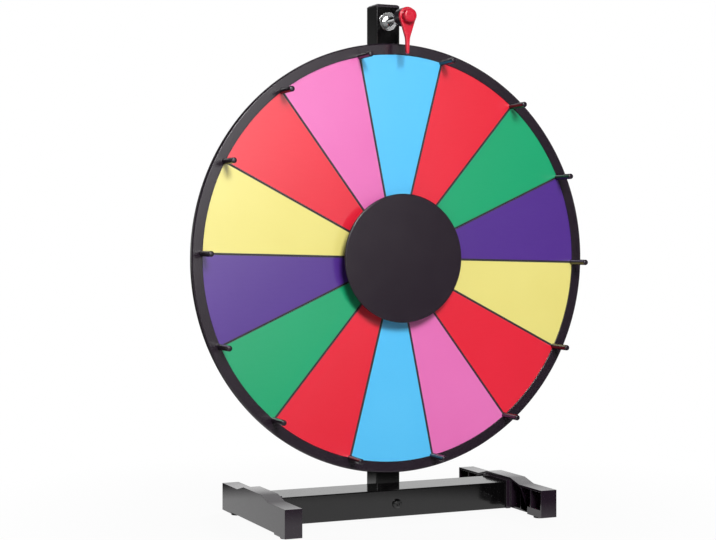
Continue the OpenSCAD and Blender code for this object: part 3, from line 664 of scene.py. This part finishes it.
def post_bolt():
    """Button-head bolt: a round profile carried round its axis to a hexagon socket, and a threaded end."""
    head_h, head_r, socket_flats, socket_deep = 4 * MM, 7 * MM, 5 * MM, 2.4 * MM
    socket_mouth, drill_cone, thread_len = 0.2 * MM, 0.5 * MM, 26 * MM
    length = 2 * half_sizes("post_bolt")[1] - head_h
    thread_end = thread_len - length
    turn = full_turn(72)
    socket = hexagon_r(socket_flats, turn)
    outside = fillet([[POST_BOLT_D / 2, thread_end], [POST_BOLT_D / 2, 0], [head_r, 0],
                      [head_r, 0.45 * head_h], [0.62 * head_r, head_h], [0.5 * head_r, head_h]],
                     np.array([0.2, 0.4, 2.2, 0.8]) * MM, steps=6)
    socket_floor = head_h - socket_deep
    inside = np.array([[head_h], [head_h - socket_mouth], [socket_floor], [socket_floor - drill_cone]])
    ring = np.ones((1, turn.size))
    radius = np.vstack([0 * ring, outside[:, :1] * ring, socket * 1.06, socket, socket, 0 * ring])
    height = np.vstack([thread_end * ring, outside[:, 1:] * ring, inside * ring])
    head = polar(radius, height, turn)
    rod = threaded(POST_BOLT_D, POST_BOLT_PITCH, -length, thread_end)
    at = front_spot("post_bolt") + [0, head_h, 0]
    stand_in("post_bolt", place(join(head, rod), TO_FRONT, at))


def nut(node, bolt_d):
    """A chamfered hexagon nut at a CAD nut's place."""
    half = half_sizes(node)
    shape = hexagon(2 * half[2], 2 * half[1], bolt_d / 2 + BORE_GAP)
    stand_in(node, place(shape, TO_FRONT, rear_spot(node)))


def washer(node, bolt_d):
    """A stamped washer: a short tube with softened edges."""
    half = half_sizes(node)
    shape = tube(half[0], bolt_d / 2 + BORE_GAP, 0, 2 * half[1], edge=0.3 * half[1])
    stand_in(node, place(shape, TO_FRONT, rear_spot(node)))


def spacer(node, bolt_d):
    """A turned tube on the axle bolt."""
    half = half_sizes(node)
    shape = tube(half[0], bolt_d / 2 + BORE_GAP, 0, 2 * half[1], edge=0.3 * MM)
    stand_in(node, place(shape, TO_FRONT, rear_spot(node)))


def axle_bolt():
    """The axle bolt: hexagon head inside the hub, plain shank, and a thread under the rear nut."""
    head_h, flats, thread_len = 7.5 * MM, 19 * MM, 22 * MM
    length = 2 * half_sizes("axle_bolt")[1] - head_h
    thread_end = thread_len - length
    shank_r = AXLE_D / 2
    head = hexagon(flats, head_h)
    shank = revolve(np.array([[0, thread_end], [shank_r, thread_end], [shank_r, 0], [0, 0]]))
    rod = threaded(AXLE_D, AXLE_PITCH, -length, thread_end)
    at = front_spot("axle_bolt") + [0, head_h, 0]
    stand_in("axle_bolt", place(join(head, shank, rod), TO_FRONT, at))


def pivot_bolt():
    """The pointer's bolt: hexagon head behind the post and a thread along the rest."""
    head_h, flats = 6 * MM, 13 * MM
    length = 2 * half_sizes("pivot_bolt")[1] - head_h
    head = place(hexagon(flats, head_h), np.eye(3), [0, 0, -head_h])
    rod = threaded(PIVOT_D, PIVOT_PITCH, 0, length)
    at = rear_spot("pivot_bolt") - [0, head_h, 0]
    stand_in("pivot_bolt", place(join(head, rod), TO_FRONT, at))


def bearing_rings(node, is_inner):
    """Bearing rings: a rectangle with a round groove on the side of the balls, carried round the axle."""
    bearing_w, pitch_r, groove_r = 8 * MM, 10 * MM, 2.45 * MM
    inner_wall_r, outer_land_r = 6.05 * MM, 11.8 * MM
    half = half_sizes(node)
    wall_r = inner_wall_r if is_inner else half[0]
    land_r = half[0] if is_inner else outer_land_r
    reach = math.sqrt(groove_r ** 2 - (pitch_r - land_r) ** 2)
    side = 1 if is_inner else -1
    swing = math.asin(reach / groove_r)
    angle = np.linspace(-swing, swing, 9)
    groove_radius = pitch_r - side * groove_r * np.cos(angle)
    groove_height = bearing_w / 2 + groove_r * np.sin(angle)
    groove = np.stack([groove_radius, groove_height], 1)
    profile = np.vstack([[wall_r, 0], [land_r, 0], groove, [land_r, bearing_w], [wall_r, bearing_w]])
    shape = revolve(profile if is_inner else profile[::-1], closed=True)
    rear = rear_spot(node)
    front_bearing = rear - [0, 2 * half[1] - bearing_w, 0]
    stand_in(node, place(shape, TO_FRONT, [rear, front_bearing]))


def bearing_balls():
    """Two rings of balls: each a circle's half carried round its own axis."""
    ball_r, pitch_r, count = 2.4 * MM, 10 * MM, 8
    middle, half = spread("bearing_balls")
    angle = np.linspace(-np.pi / 2, np.pi / 2, 17)
    ball = revolve(ball_r * np.stack([np.cos(angle), np.sin(angle)], 1), count=24)
    depth = half[1] - ball_r
    spots = [[AXLE[0] + pitch_r * np.cos(a), middle[1] + side * depth, AXLE[2] + pitch_r * np.sin(a)]
             for side in (-1, 1) for a in full_turn(count)]
    stand_in("bearing_balls", place(ball, TO_FRONT, spots))


# Wheel

def notched_rim():
    """The rim: a channel's profile carried round the disc, with half-round cuts in its front lip for pegs.

    The lip's inner radius at an angle is the larger of its own and that of the peg hole's far side there:
    the ring radius times the angle's cosine, plus the hole's half chord. Angles crowd together at the pegs.
    """
    lip_r, wall_r, back_lip_r = 289.5 * MM, 302 * MM, 297 * MM
    lip_t, bevel, crowd = 2 * MM, 1.5 * MM, 0.8
    middle, half = spread("rim")
    rim_r = max(half[0], half[2])
    deep = 2 * half[1]
    even = full_turn(PEG_COUNT * 40)
    turn = even - crowd * np.sin(PEG_COUNT * even) / PEG_COUNT
    off_peg = (turn + np.pi / PEG_COUNT) % (2 * np.pi / PEG_COUNT) - np.pi / PEG_COUNT
    half_chord = np.sqrt(np.clip(PEG_HOLE_R ** 2 - (PEG_RING_R * np.sin(off_peg)) ** 2, 0, None))
    notch_r = np.where(half_chord > 0, PEG_RING_R * np.cos(off_peg) + half_chord, 0)
    corners = [[lip_r, deep - lip_t], [wall_r, deep - lip_t], [wall_r, lip_t],
               [back_lip_r, lip_t], [back_lip_r, 0], [rim_r - bevel, 0], [rim_r, bevel],
               [rim_r, deep - bevel], [rim_r - bevel, deep], [lip_r, deep]]
    radii = np.array([0.3, 0.3, 0.3, 0.3, 0.5, 1.2, 1.2, 1.2, 1.2, 0.6]) * MM
    profile = fillet(corners, radii, closed=True)
    own_r = profile[:, :1]
    near_lip = own_r < lip_r + 1 * MM
    radius = np.where(near_lip, np.maximum(own_r, notch_r + own_r - lip_r), own_r)
    angle = turn + PEG_FIRST - WHEEL_TURN
    points = np.stack([radius * np.cos(angle), radius * np.sin(angle), profile[:, 1:] + 0 * angle], -1)
    shape = grid(points, close_rows=True)
    at = [AXLE[0], middle[1] + half[1], AXLE[2]]
    stand_in("rim", place(shape, TO_FRONT, at))


def pegs():
    """Pegs: a straight pin with a rounded tip and a bevelled foot, carried round its own axis."""
    peg_r, core_r, core_deep = 4 * MM, 2.1 * MM, 13 * MM
    middle, half = spread("pegs")
    length = 2 * half[1]
    corners = [[0, core_deep], [core_r, core_deep], [core_r, 0], [peg_r, 0], [peg_r, length], [0, length]]
    shape = revolve(fillet(corners, np.array([0.2, 0.2, 0.3, 1.6]) * MM), count=48)
    spots = ring_spots(PEG_COUNT, PEG_RING_R, PEG_FIRST, middle[1] + half[1])
    stand_in("pegs", place(shape, TO_FRONT, spots))


def wheel_screws(node, count, ring_r, first, head_d, head_h):
    """Cross-recess screws in the back of the disc."""
    shank_d = 4 * MM
    middle, half = spread(node)
    shape = pan_screw(head_d, head_h, shank_d, 2 * half[1] - head_h)
    spots = ring_spots(count, ring_r, first, middle[1] + half[1] - head_h)
    stand_in(node, place(shape, TO_BACK, spots))


def hub_cover():
    """The hub cover: a flared shell's profile carried round the axle, and tubes for its screws."""
    wall, back_r, lip, foot = 2.5 * MM, 78 * MM, 2.5 * MM, 0.6 * MM
    boss_r, core_r = 5 * MM, 2.1 * MM
    middle, half = spread("hub_cover")
    hub_r = half[0]
    deep = 2 * half[1]
    inner = deep - wall
    corners = [[0, inner], [hub_r - wall, inner], [back_r - wall, foot], [back_r, foot], [hub_r, deep - lip],
               [hub_r, deep], [0, deep]]
    shell = revolve(fillet(corners, np.array([1.0, 0.3, 0.3, 1.0, 1.6]) * MM), count=192)
    boss = tube(boss_r, core_r, 0, inner, edge=0.3 * MM, count=32)
    rear = middle[1] + half[1]
    bosses = place(boss, TO_FRONT, ring_spots(HUB_SCREW_COUNT, HUB_SCREW_RING_R, HUB_SCREW_FIRST, rear))
    stand_in("hub_cover", join(place(shell, TO_FRONT, [AXLE[0], rear, AXLE[2]]), bosses))


def bearing_housing():
    """The bearing housing: a profile of flange, barrel and two bearing seats, carried round the axle."""
    flange_t, barrel_r, seat_r, land_r, seat_deep = 4 * MM, 22 * MM, 14 * MM, 11.8 * MM, 8 * MM
    half = half_sizes("bearing_housing")
    flange_r, deep = half[0], 2 * half[1]
    corners = [[seat_r, 0], [flange_r, 0], [flange_r, flange_t], [barrel_r, flange_t],
               [barrel_r, deep], [seat_r, deep], [seat_r, deep - seat_deep],
               [land_r, deep - seat_deep], [land_r, seat_deep], [seat_r, seat_deep]]
    radii = np.array([0.3, 0.8, 0.4, 0.1, 0.6, 0.3, 0.1, 0.1, 0.1, 0.1]) * MM
    shape = revolve(fillet(corners, radii, closed=True), count=128, closed=True)
    stand_in("bearing_housing", place(shape, TO_FRONT, rear_spot("bearing_housing")))


def flange_bolts():
    """Hexagon bolts through the housing's flange, with their heads to the back."""
    flats, head_h = 10 * MM, 4.2 * MM
    middle, half = spread("flange_bolts")
    length = 2 * half[1] - head_h
    head = hexagon(flats, head_h)
    rod = threaded(FLANGE_BOLT_D, FLANGE_BOLT_PITCH, -length, 0)
    depth = middle[1] + half[1] - head_h
    spots = ring_spots(FLANGE_BOLT_COUNT, FLANGE_BOLT_RING_R, FLANGE_BOLT_FIRST, depth)
    stand_in("flange_bolts", place(join(head, rod), TO_BACK, spots))


# Pointer

def pointer_outline():
    """The pointer's outline, counter-clockwise about its pivot: round head, drawn-in neck and thin tail."""
    tail_half, tip_half, taper, shoulder = 3.4 * MM, 2.2 * MM, 31 * MM, math.radians(30)
    middle, half = spread("pointer")
    head_r = half[0]
    length = PIVOT[2] - (middle[2] - half[2])
    angle = np.linspace(-shoulder, np.pi + shoulder, 73)
    head = head_r * np.stack([np.cos(angle), np.sin(angle)], 1)
    corners = [head[-1], [-tail_half, -taper], [-tip_half, -length],
               [tip_half, -length], [tail_half, -taper], head[0]]
    tail = fillet(corners, np.array([30, 2.1, 2.1, 30]) * MM, steps=9)
    return np.vstack([head, tail[1:-1]])


def pointer():
    """The pointer: its outline as a plate with round edges and a bore for its bolt.

    Each ring is the outline drawn in along its own normals, by a quarter circle at the front and the back.
    """
    edge = 1.5 * MM
    middle, half = spread("pointer")
    thick = 2 * half[1]
    outline = pointer_outline()
    along = np.roll(outline, -1, axis=0) - np.roll(outline, 1, axis=0)
    along = along / np.linalg.norm(along, axis=1, keepdims=True)
    outward = np.stack([along[:, 1], -along[:, 0]], 1)
    quarter = np.linspace(0, np.pi / 2, 7)
    inset = np.concatenate([edge * (1 - np.sin(quarter)), edge * (1 - np.cos(quarter))])
    height = np.concatenate([edge * (1 - np.cos(quarter)), thick - edge * (1 - np.sin(quarter))])
    rings = outline - inset[:, None, None] * outward
    bore = POINTER_BORE_R * outline / np.linalg.norm(outline, axis=1, keepdims=True)
    rings = np.concatenate([rings, bore[None], bore[None]])
    height = np.concatenate([height, [thick, 0]])
    points = np.concatenate([rings, np.broadcast_to(height[:, None, None], rings.shape[:2] + (1,))], -1)
    at = [PIVOT[0], middle[1] + half[1], PIVOT[2]]
    stand_in("pointer", place(grid(points, close_rows=True), TO_FRONT, at))


def pointer_collar():
    """The collar behind the pointer: a tube's profile with two shallow grooves, carried round the pivot."""
    groove = 0.5 * MM
    half = half_sizes("pointer_collar")
    collar_r, deep = half[0], 2 * half[1]
    corners = [[POINTER_BORE_R, 0], [collar_r, 0], [collar_r, 0.30 * deep], [collar_r - groove, 0.34 * deep],
               [collar_r, 0.38 * deep], [collar_r, 0.62 * deep], [collar_r - groove, 0.66 * deep],
               [collar_r, 0.70 * deep], [collar_r, deep], [POINTER_BORE_R, deep]]
    radii = np.array([0.3, 1.2, 0.2, 0.2, 0.2, 0.2, 0.2, 0.2, 1.2, 0.3]) * MM
    shape = revolve(fillet(corners, radii, closed=True), closed=True)
    stand_in("pointer_collar", place(shape, TO_FRONT, rear_spot("pointer_collar")))


def pointer_cap():
    """The cap over the front nut: a shell's profile with a broad round edge, carried round the pivot."""
    wall = 1.4 * MM
    half = half_sizes("pointer_cap")
    cap_r, high = half[0], 2 * half[1]
    inner_r, inner_high = cap_r - wall, high - wall
    corners = [[0, inner_high], [inner_r, inner_high], [inner_r, 0], [cap_r, 0], [cap_r, high], [0, high]]
    shape = revolve(fillet(corners, np.array([0.8, 0.2, 0.3, 3.0]) * MM, steps=9))
    stand_in("pointer_cap", place(shape, TO_FRONT, rear_spot("pointer_cap")))


# Studio

# The camera: the photograph's width, the focal length and the axis's height over the middle are in pixels
PHOTO_W = 716
FOCAL_PX = 1594
AXIS_UP_PX = 34.6
SENSOR_MM = 36
CAMERA_AT = (-0.9663, -2.0857, 0.4047)
CAMERA_LOOKS = (0.4037, 0.9149, 0.0)

# Across the line on the floor that front and left faces mirror to the camera
MIRROR_ACROSS = (CAMERA_LOOKS[1], CAMERA_LOOKS[0], 0.0)

# Fades on the floor: start, end, value at the start, value at the end; over distance, the last over a sine
FLOOR_PLAIN = (0.25, 0.7, 0.95, 1.0)
FLOOR_POOL = (0.24, 0.38, 1.0, 0.02)
FLOOR_WINGS = (0.5, 1.2, 0.0, 0.5)
FLOOR_ASIDE = (0.22, 0.42, 0.0, 1.0)
# How the pool of light on the floor is made an oval
POOL_SHIFT = (0.094, 0, 0)
POOL_SQUASH = (0.625, 1, 1)

# Fades of the surroundings in gloss, in the same order, each over a part of the ray's direction
WALL_BEHIND = (0.2, 0.75, 0.03, 0.92)
WALL_BESIDE = (0.75, 0.95, 0.0, 0.7)
WALL_TOP = (0.05, 0.28, 1.0, 0.1)
WALL_TILT = -0.35
SCREEN_FRONT = (-0.5, -0.3, 9.0, 0.0)
# The screen's sides: part of the direction, where it is dark, where it is bright
SCREEN_SIDES = (("X", -0.1, 0.1), ("X", 0.36, 0.28), ("Z", -0.02, 0.08), ("Z", 0.3, 0.16))

WHITE = (1, 1, 1, 1)
FLOOR_GREY = (0.34, 0.34, 0.34, 1)
AMBIENT = 0.04
WHEEL_MIDDLE = (0, 0, 0.37)
BASE_MIDDLE = (0, 0, 0.1)


def mix_shaders(tree, share, first, second):
    """The first shader node's light, with a share of the second's in its place."""
    return add_node(tree, "ShaderNodeMixShader", {0: share, 1: first.outputs[0], 2: second.outputs[0]})


def add_camera():
    """A level camera at the photograph's place; a shift keeps the upright lines upright."""
    data = bpy.data.cameras.new("camera")
    data.sensor_width = SENSOR_MM
    data.lens = FOCAL_PX / PHOTO_W * SENSOR_MM
    data.shift_y = -AXIS_UP_PX / PHOTO_W
    camera = bpy.data.objects.new("camera", data)
    scene.collection.objects.link(camera)
    look = Vector(CAMERA_LOOKS).normalized()
    right = look.cross(Vector((0, 0, 1)))
    turn = Matrix((right, right.cross(look), -look)).transposed().to_4x4()
    camera.matrix_world = Matrix.Translation(CAMERA_AT) @ turn
    scene.camera = camera


def add_softbox(name, at, aim, side, power, in_gloss=True):
    """A square area lamp that faces a point, seen in gloss or not."""
    data = bpy.data.lights.new(name, "AREA")
    data.shape = "RECTANGLE"
    data.size = side
    data.size_y = side
    data.energy = power
    lamp = bpy.data.objects.new(name, data)
    lamp.visible_glossy = in_gloss
    scene.collection.objects.link(lamp)
    lamp.location = at
    lamp.rotation_euler = (Vector(aim) - Vector(at)).to_track_quat("-Z", "Y").to_euler()


def add_floor():
    """A floor that is plain white to the camera, with a faint shadow near the object.

    In gloss it is white in an oval pool about the base. Further off it is dark along the line that front and
    left faces mirror to the camera, and grey in the wings to both sides of that line.
    """
    reach = 8.0
    mesh = bpy.data.meshes.new("floor")
    corners = np.array([[-1, -1, 0], [1, -1, 0], [1, 1, 0], [-1, 1, 0]]) * reach
    mesh.from_pydata(corners, [], [(0, 1, 2, 3)])
    floor = bpy.data.objects.new("floor", mesh)
    scene.collection.objects.link(floor)
    material = bpy.data.materials.new("white floor")
    material.use_nodes = True
    tree = material.node_tree
    tree.nodes.clear()
    path = add_node(tree, "ShaderNodeLightPath").outputs
    at = object_place(tree)
    away = vector_calc(tree, "LENGTH", at)
    matt = add_node(tree, "ShaderNodeBsdfDiffuse", {"Color": FLOOR_GREY})
    white = add_node(tree, "ShaderNodeEmission", {"Color": WHITE, "Strength": 1.0})
    plain = calc(tree, "MULTIPLY", path["Is Camera Ray"], spread_range(tree, away, *FLOOR_PLAIN))
    shown = mix_shaders(tree, plain, matt, white)
    inputs = {"Vector": at, "Location": POOL_SHIFT, "Scale": POOL_SQUASH}
    oval = add_node(tree, "ShaderNodeMapping", inputs).outputs[0]
    pool = spread_range(tree, vector_calc(tree, "LENGTH", oval), *FLOOR_POOL)
    across = calc(tree, "ABSOLUTE", vector_calc(tree, "DOT_PRODUCT", at, MIRROR_ACROSS))
    aside = spread_range(tree, calc(tree, "DIVIDE", across, away), *FLOOR_ASIDE)
    wings = calc(tree, "MULTIPLY", aside, spread_range(tree, away, *FLOOR_WINGS))
    glow = calc(tree, "MULTIPLY", path["Is Glossy Ray"], calc(tree, "MAXIMUM", pool, wings))
    mirrored = add_node(tree, "ShaderNodeEmission", {"Color": WHITE, "Strength": glow})
    both = mix_shaders(tree, path["Is Glossy Ray"], shown, mirrored)
    add_node(tree, "ShaderNodeOutputMaterial", {"Surface": both.outputs[0]})
    mesh.materials.append(material)


def seen_directly(tree):
    """One for camera, glossy and transmission rays, and zero for the rays that only carry light."""
    path = add_node(tree, "ShaderNodeLightPath").outputs
    seen = calc(tree, "MAXIMUM", path["Is Camera Ray"], path["Is Glossy Ray"])
    return calc(tree, "MAXIMUM", seen, path["Is Transmission Ray"])


def add_world():
    """White to the camera; in gloss light at the back and the sides, and dark above and in front.

    A soft screen in front, which is seen in gloss only, lays a veil on the wheel's upper left.
    """
    world = bpy.data.worlds.new("studio")
    world.use_nodes = True
    tree = world.node_tree
    tree.nodes.clear()
    path = add_node(tree, "ShaderNodeLightPath").outputs
    way = axes(tree, add_node(tree, "ShaderNodeTexCoord").outputs["Generated"])
    behind = spread_range(tree, way["Y"], *WALL_BEHIND)
    beside = spread_range(tree, calc(tree, "ABSOLUTE", way["X"]), *WALL_BESIDE)
    height = calc(tree, "MULTIPLY_ADD", way["X"], WALL_TILT, way["Z"])
    low = spread_range(tree, height, *WALL_TOP)
    walls = calc(tree, "MULTIPLY", calc(tree, "MAXIMUM", behind, beside), low)
    screen = spread_range(tree, way["Y"], *SCREEN_FRONT)
    for axis, dark, bright in SCREEN_SIDES:
        screen = calc(tree, "MULTIPLY", screen, spread_range(tree, way[axis], dark, bright))
    mirrored = calc(tree, "MAXIMUM", screen, walls)
    strength = calc(tree, "MAXIMUM", mirrored, path["Is Camera Ray"])
    shown = add_node(tree, "ShaderNodeBackground", {"Color": WHITE, "Strength": strength})
    ambient = add_node(tree, "ShaderNodeBackground", {"Color": WHITE, "Strength": AMBIENT})
    both = mix_shaders(tree, seen_directly(tree), ambient, shown)
    add_node(tree, "ShaderNodeOutputWorld", {"Surface": both.outputs[0]})
    scene.world = world


# The studio and the finished object

scene.view_settings.view_transform = "Standard"
add_camera()
add_floor()
add_world()
add_softbox("key", (-0.85, -5.0, 2.9), WHEEL_MIDDLE, side=1.5, power=310)
add_softbox("left", (-1.8, -1.2, 0.9), WHEEL_MIDDLE, side=0.8, power=2)
add_softbox("top", (0.6, 1.6, 2.2), BASE_MIDDLE, side=1.5, power=8)
add_softbox("back", (2.8, 2.6, 2.4), WHEEL_MIDDLE, side=1.5, power=190, in_gloss=False)

for name, node in frame["nodes"].items():
    node.data.materials.clear()
    node.data.materials.append(FINISHES[SLOT_OF[name]])

for name in ("left_foot", "right_foot"):
    soften(name, width=1.0 * MM)
for name in ("crossbar", "post", "post_cap"):
    soften(name, width=0.5 * MM)
foot_pads()
foot_screws()
post_bolt()
axle_bolt()
pivot_bolt()
nut("post_bolt_nut", POST_BOLT_D)
nut("axle_nut", AXLE_D)
for name in ("pivot_post_nut", "pivot_collar_nut", "pivot_end_nut"):
    nut(name, PIVOT_D)
for name in ("axle_rear_washer", "axle_front_washer"):
    washer(name, AXLE_D)
for name in ("pivot_front_washer", "pivot_rear_washer"):
    washer(name, PIVOT_D)
for name in ("axle_spacer", "bearing_spacer"):
    spacer(name, AXLE_D)
bearing_rings("bearing_inner_rings", is_inner=True)
bearing_rings("bearing_outer_rings", is_inner=False)
bearing_balls()
notched_rim()
pegs()
wheel_screws("peg_screws", PEG_COUNT, PEG_RING_R, PEG_FIRST, head_d=7.5 * MM, head_h=2.4 * MM)
wheel_screws("hub_screws", HUB_SCREW_COUNT, HUB_SCREW_RING_R, HUB_SCREW_FIRST,
             head_d=8 * MM, head_h=2.6 * MM)
hub_cover()
bearing_housing()
flange_bolts()
pointer()
pointer_collar()
pointer_cap()
